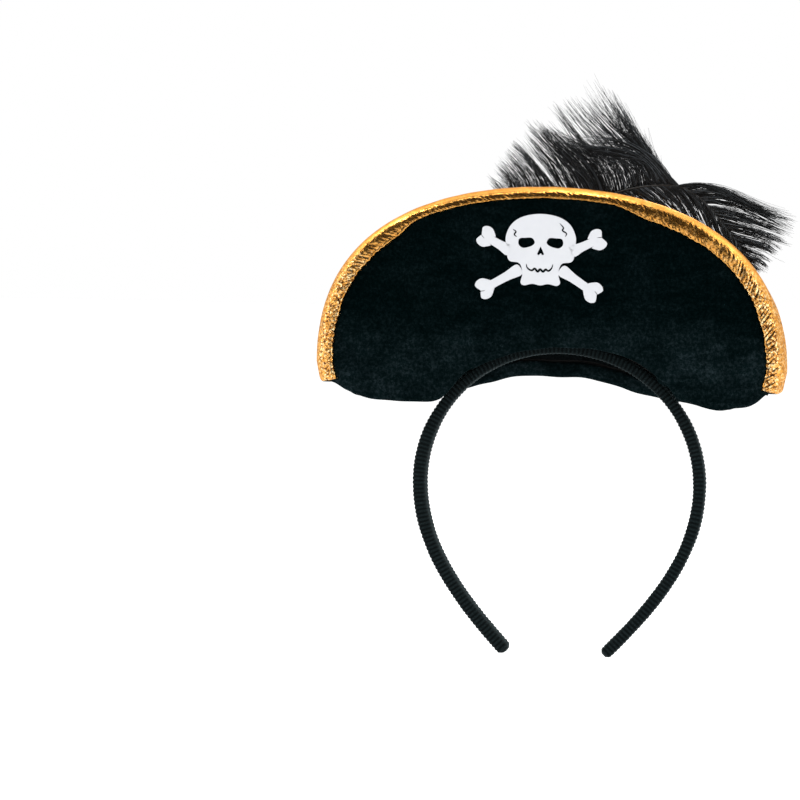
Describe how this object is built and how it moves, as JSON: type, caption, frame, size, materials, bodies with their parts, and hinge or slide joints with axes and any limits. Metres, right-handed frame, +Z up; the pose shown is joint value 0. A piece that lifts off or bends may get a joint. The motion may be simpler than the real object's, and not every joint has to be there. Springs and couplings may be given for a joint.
{
  "type": "pirate hat",
  "caption": "Small two-flap costume pirate hat with gold binding, skull and crossed bones and a black plume, on a sprung ribbed head band.",
  "frame": {"origin": "middle of the head band's inner face at its crown, where it rests on the head", "axes": "+Z up, the hat faces -Y, +X to the viewer's right"},
  "size_m": [0.2043, 0.0436, 0.2427],
  "materials": {
    "velvet": "black crushed velvet",
    "lining": "black non-woven lining",
    "stiffener": "plain grey board",
    "gold_lame": "gold foil lame, crinkled",
    "ribbed_sleeve": "black ribbed knit",
    "band_plastic": "moulded, unpolished",
    "glue": "set hot-melt glue",
    "emblem_white": "matte white",
    "feather": "dyed ostrich feather",
    "quill": "dyed feather quill"
  },
  "bodies": {
    "hat": {"band_core_top": "band_plastic", "sleeve_top": "ribbed_sleeve", "glue_strip_left": "glue", "glue_strip_right": "glue", "front_velvet": "velvet", "front_board": "stiffener", "front_lining": "lining", "front_binding": "gold_lame", "rear_velvet": "velvet", "rear_board": "stiffener", "rear_lining": "lining", "rear_binding": "gold_lame", "base_velvet": "velvet", "end_seam_left": "velvet", "end_seam_right": "velvet", "skull": "emblem_white", "bone_upper_left": "emblem_white", "bone_upper_right": "emblem_white", "bone_lower_left": "emblem_white", "bone_lower_right": "emblem_white", "plume_anchor": "glue"},
    "arm_left": {"band_core_left": "band_plastic", "sleeve_left": "ribbed_sleeve", "tip_cap_left": "ribbed_sleeve"},
    "arm_right": {"band_core_right": "band_plastic", "sleeve_right": "ribbed_sleeve", "tip_cap_right": "ribbed_sleeve"},
    "plume": {"plume_wrap": "quill", "plume_quill": "quill", "plume_upper_vane": "feather", "plume_tip_vane": "feather", "plume_lower_vane": "feather"}
  },
  "joints": [
    {"name": "arm_left_flex", "type": "hinge", "parent": "hat", "child": "arm_left", "pos_m": [-0.04926, 0, -0.02185], "axis": [0, 1, 0], "range_deg": [-3, 15], "stiffness_Nm_per_rad": 0.6},
    {"name": "arm_right_flex", "type": "hinge", "parent": "hat", "child": "arm_right", "pos_m": [0.04926, 0, -0.02185], "axis": [0, -1, 0], "range_deg": [-3, 15], "stiffness_Nm_per_rad": 0.6},
    {"name": "plume_sway", "type": "hinge", "parent": "hat", "child": "plume", "pos_m": [-0.0247, 0.0015, 0.0167], "axis": [0, 1, 0], "range_deg": [-7, 7], "stiffness_Nm_per_rad": 0.5}
  ]
}
